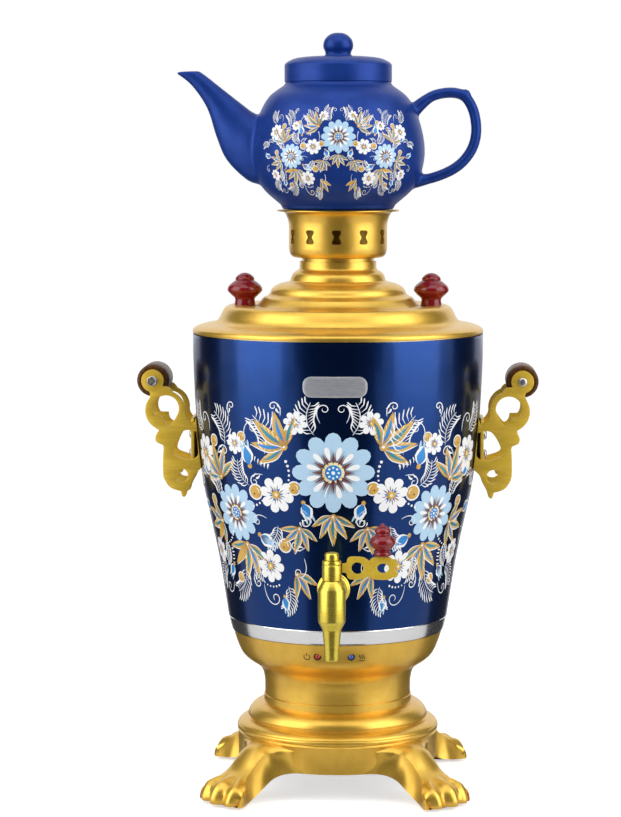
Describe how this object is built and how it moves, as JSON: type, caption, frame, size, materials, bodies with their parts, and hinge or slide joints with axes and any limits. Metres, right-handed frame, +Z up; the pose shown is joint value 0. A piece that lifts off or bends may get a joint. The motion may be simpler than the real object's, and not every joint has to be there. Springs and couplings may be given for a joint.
{
  "type": "samovar",
  "caption": "Electric table samovar: tapered enamelled body on a lion-paw base, brass lever tap, fretwork side handles, lift-off lid, pierced steam crown and teapot.",
  "frame": {"origin": "middle of the footprint, on the surface that the foot pads stand on", "axes": "+Z up, -Y the front with the tap, +X to the right seen from the front"},
  "size_m": [0.2768, 0.2316, 0.5215],
  "materials": {
    "gold_paint": "satin",
    "plain_steel": "satin",
    "foot_rubber": "matte",
    "red_lens": "gloss",
    "blue_lens": "gloss",
    "circuit_board": "satin",
    "black_plastic": "satin",
    "pin_metal": "gloss",
    "red_plastic": "gloss",
    "thermostat_body": "matte",
    "wire_red": "satin",
    "wire_blue": "satin",
    "polished_band": "polished",
    "cobalt_enamel": "gloss",
    "tank_steel": "satin",
    "heater_aluminium": "satin",
    "element_sheath": "satin",
    "badge_metal": "satin",
    "tap_brass": "polished",
    "knob_red": "gloss",
    "silicone": "matte",
    "bracket_brass": "satin",
    "roller_wood": "gloss",
    "brown_plastic": "satin",
    "blue_glaze": "satin"
  },
  "bodies": {
    "samovar": {"base_casting": "gold_paint", "control_bowl": "gold_paint", "base_cover": "plain_steel", "tie_rod": "plain_steel", "tie_nut": "plain_steel", "foot_pad_front_left": "foot_rubber", "foot_pad_front_right": "foot_rubber", "foot_pad_rear_left": "foot_rubber", "foot_pad_rear_right": "foot_rubber", "indicator_lens_boil": "red_lens", "indicator_lens_warm": "blue_lens", "indicator_board": "circuit_board", "power_inlet": "black_plastic", "inlet_pin_live": "pin_metal", "inlet_pin_neutral": "pin_metal", "inlet_pin_earth": "pin_metal", "switch_housing": "black_plastic", "thermostat": "thermostat_body", "wire_live": "wire_red", "wire_neutral": "wire_blue", "trim_band": "polished_band", "body_shell": "cobalt_enamel", "inner_tank": "tank_steel", "heater_plate": "heater_aluminium", "heater_element": "element_sheath", "heat_shield": "plain_steel", "badge_plate": "badge_metal", "tap_body": "tap_brass", "tap_rosette": "tap_brass", "tap_seal": "silicone", "tap_nut": "tap_brass", "handle_bracket_left": "bracket_brass", "handle_bolt_left": "plain_steel", "handle_nut_left": "plain_steel", "handle_spacer_left": "brown_plastic", "handle_screw_left_upper": "plain_steel", "handle_screw_left_lower": "plain_steel", "handle_bracket_right": "bracket_brass", "handle_bolt_right": "plain_steel", "handle_nut_right": "plain_steel", "handle_spacer_right": "brown_plastic", "handle_screw_right_upper": "plain_steel", "handle_screw_right_lower": "plain_steel"},
    "lid_body": {"lid": "gold_paint", "lid_seal": "silicone", "lid_knob_left": "knob_red", "lid_knob_right": "knob_red", "lid_knob_screw_left": "plain_steel", "lid_knob_screw_right": "plain_steel"},
    "crown_body": {"crown": "gold_paint"},
    "teapot": {"teapot_body": "blue_glaze"},
    "teapot_cover": {"teapot_lid": "blue_glaze"},
    "tap_key": {"tap_plug": "tap_brass", "tap_cap": "tap_brass", "tap_lever": "tap_brass", "tap_knob": "knob_red"},
    "rocker": {"switch_rocker": "red_plastic"},
    "grip_left": {"handle_grip_left": "roller_wood"},
    "grip_right": {"handle_grip_right": "roller_wood"}
  },
  "joints": [
    {"name": "lid_lift", "type": "slide", "parent": "samovar", "child": "lid_body", "axis": [0, 0, 1], "range_m": [0, 0.08]},
    {"name": "crown_lift", "type": "slide", "parent": "lid_body", "child": "crown_body", "axis": [0, 0, 1], "range_m": [0, 0.05]},
    {"name": "teapot_lift", "type": "slide", "parent": "crown_body", "child": "teapot", "axis": [0, 0, 1], "range_m": [0, 0.06]},
    {"name": "teapot_lid_lift", "type": "slide", "parent": "teapot", "child": "teapot_cover", "axis": [0, 0, 1], "range_m": [0, 0.04]},
    {"name": "tap_turn", "type": "hinge", "parent": "samovar", "child": "tap_key", "pos_m": [0, -0.10668, 0.17], "axis": [0, 0, 1], "range_deg": [-90, 0]},
    {"name": "rocker_tip", "type": "hinge", "parent": "samovar", "child": "rocker", "pos_m": [0.0175, 0.0895, 0.09545], "axis": [1, 0, 0], "range_deg": [0, 12]},
    {"name": "grip_roll_left", "type": "hinge", "parent": "samovar", "child": "grip_left", "pos_m": [-0.1273, 0.01533, 0.283], "axis": [0, 1, 0], "continuous": true},
    {"name": "grip_roll_right", "type": "hinge", "parent": "samovar", "child": "grip_right", "pos_m": [0.1273, 0.01533, 0.283], "axis": [0, 1, 0], "continuous": true}
  ]
}
